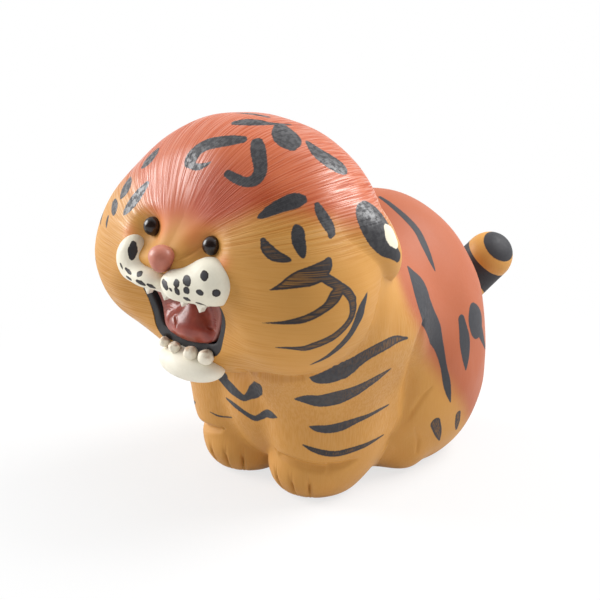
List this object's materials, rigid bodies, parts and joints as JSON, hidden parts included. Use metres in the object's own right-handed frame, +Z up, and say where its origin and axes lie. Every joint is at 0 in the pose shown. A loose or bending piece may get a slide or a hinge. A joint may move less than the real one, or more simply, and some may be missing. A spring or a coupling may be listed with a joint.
{
  "type": "tea pet",
  "caption": "Hollow clay tiger cub that sits on a tea tray: raised head, open mouth with tongue and teeth, bead eyes, pressed-on paws, ears and tail.",
  "frame": {"origin": "on the tray, under the middle of the figure from nose to tail tip and from cheek to cheek", "axes": "+Z up, the cub faces -Y, its own left side is +X"},
  "size_m": [0.0532, 0.079, 0.0612],
  "materials": {
    "ochre_clay": "fired ochre clay, matt to satin, with a red-orange bloom sprayed on the back",
    "ember_clay": "fired clay combed with fine fur lines, red-orange above and ochre below, satin",
    "white_slip": "cream slip, matt, with dark whisker spots",
    "black_slip": "charcoal slip, satin",
    "eye_glaze": "dark brown-black, glossy",
    "red_glaze": "dark red, glossy",
    "rose_clay": "rose-brown, satin"
  },
  "bodies": {
    "root": {"body_shell": "ochre_clay", "tail": "ochre_clay", "left_forepaw": "ochre_clay", "right_forepaw": "ochre_clay", "left_hind_paw": "ochre_clay", "right_hind_paw": "ochre_clay", "head_shell": "ember_clay", "left_ear": "black_slip", "right_ear": "black_slip", "left_eye": "eye_glaze", "right_eye": "eye_glaze", "nose": "rose_clay", "left_whisker_pad": "white_slip", "right_whisker_pad": "white_slip", "chin_pad": "white_slip", "mouth_rim": "black_slip", "mouth_lining": "red_glaze", "tongue": "red_glaze", "upper_tooth_strip": "white_slip", "lower_tooth_1": "white_slip", "lower_tooth_2": "white_slip", "lower_tooth_3": "white_slip", "lower_tooth_4": "white_slip"}
  },
  "joints": []
}
